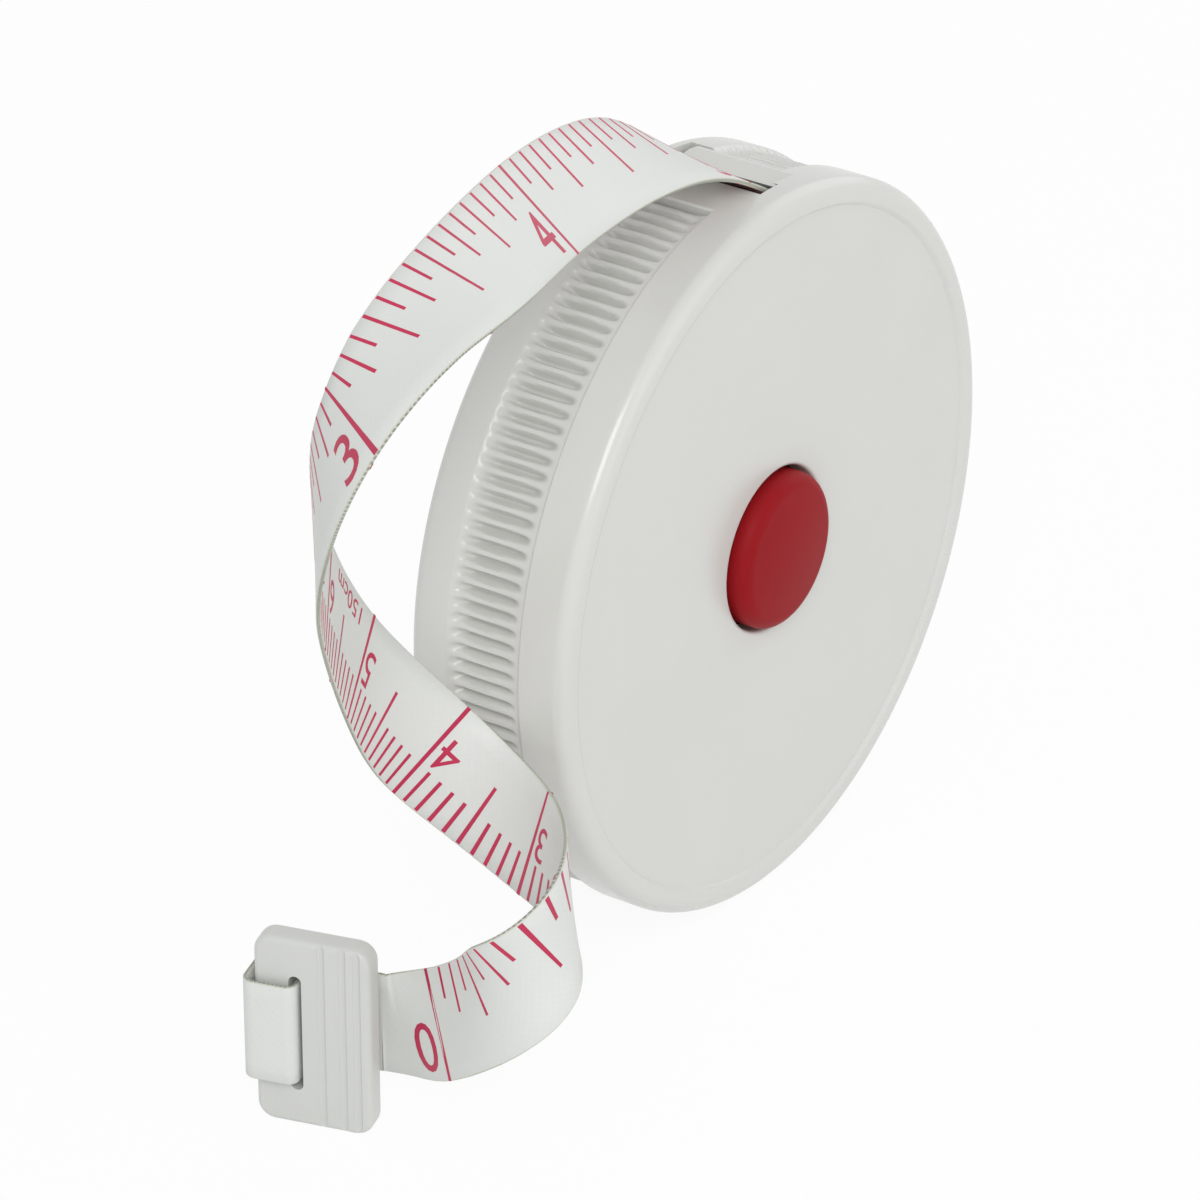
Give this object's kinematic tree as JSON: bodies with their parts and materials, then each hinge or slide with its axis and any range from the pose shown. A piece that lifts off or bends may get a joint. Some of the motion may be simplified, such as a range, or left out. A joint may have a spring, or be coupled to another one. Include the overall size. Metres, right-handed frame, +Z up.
{
  "type": "cloth tape measure",
  "caption": "Round retractable cloth tape measure with a push button in its face, a ribbed rim and a printed tape that ends in a slotted tab.",
  "frame": {"origin": "the middle of the case's flat back face, on the disc axis", "axes": "+Y out of the back face along the disc axis, +Z up with the mouth at the top, +X to the right seen from the button side; the tape leaves to the left"},
  "size_m": [0.0747, 0.0223, 0.0613],
  "materials": {
    "case_plastic": "moulded, satin gloss",
    "button_plastic": "moulded, satin gloss",
    "reel_plastic": "moulded, matt",
    "tape_cloth": "coated woven cloth, printed",
    "spring_steel": "bright steel",
    "brake_rubber": "matt",
    "tab_plastic": "moulded, satin"
  },
  "bodies": {
    "case": {"back_cover": "case_plastic", "front_cover": "case_plastic", "axle_washer": "spring_steel", "axle_screw": "spring_steel", "mainspring": "spring_steel", "button_spring": "spring_steel"},
    "button": {"push_button": "button_plastic", "brake_ring": "brake_rubber"},
    "reel": {"reel_drum": "reel_plastic", "reel_front_flange": "reel_plastic", "spring_cover": "reel_plastic", "wound_tape": "tape_cloth", "tape_wedge": "reel_plastic"},
    "tape": {"free_tape": "tape_cloth"},
    "tab": {"end_tab": "tab_plastic", "tape_end_fold": "tape_cloth"}
  },
  "joints": [
    {"name": "button_press", "type": "slide", "parent": "case", "child": "button", "axis": [0, 1, 0], "range_m": [0, 0.0012], "stiffness_N_per_m": 400, "springref_m": -0.002, "deforming": ["button_spring"]},
    {"name": "reel_spin", "type": "hinge", "parent": "case", "child": "reel", "pos_m": [0, 0, 0], "axis": [0, -1, 0], "range_deg": [0, 33.7]},
    {"name": "tape_pull", "type": "slide", "parent": "case", "child": "tape", "axis": [-0.7832, 0, 0.6217], "range_m": [0, 0.012]},
    {"name": "tab_swing", "type": "hinge", "parent": "tape", "child": "tab", "pos_m": [-0.0382, -0.0059, -0.0182], "axis": [0, 0, -1], "range_deg": [0, 90]}
  ],
  "couplings": [
    {"joint": "tape_pull", "follows": "reel_spin", "m_per_rad": 0.0204}
  ]
}
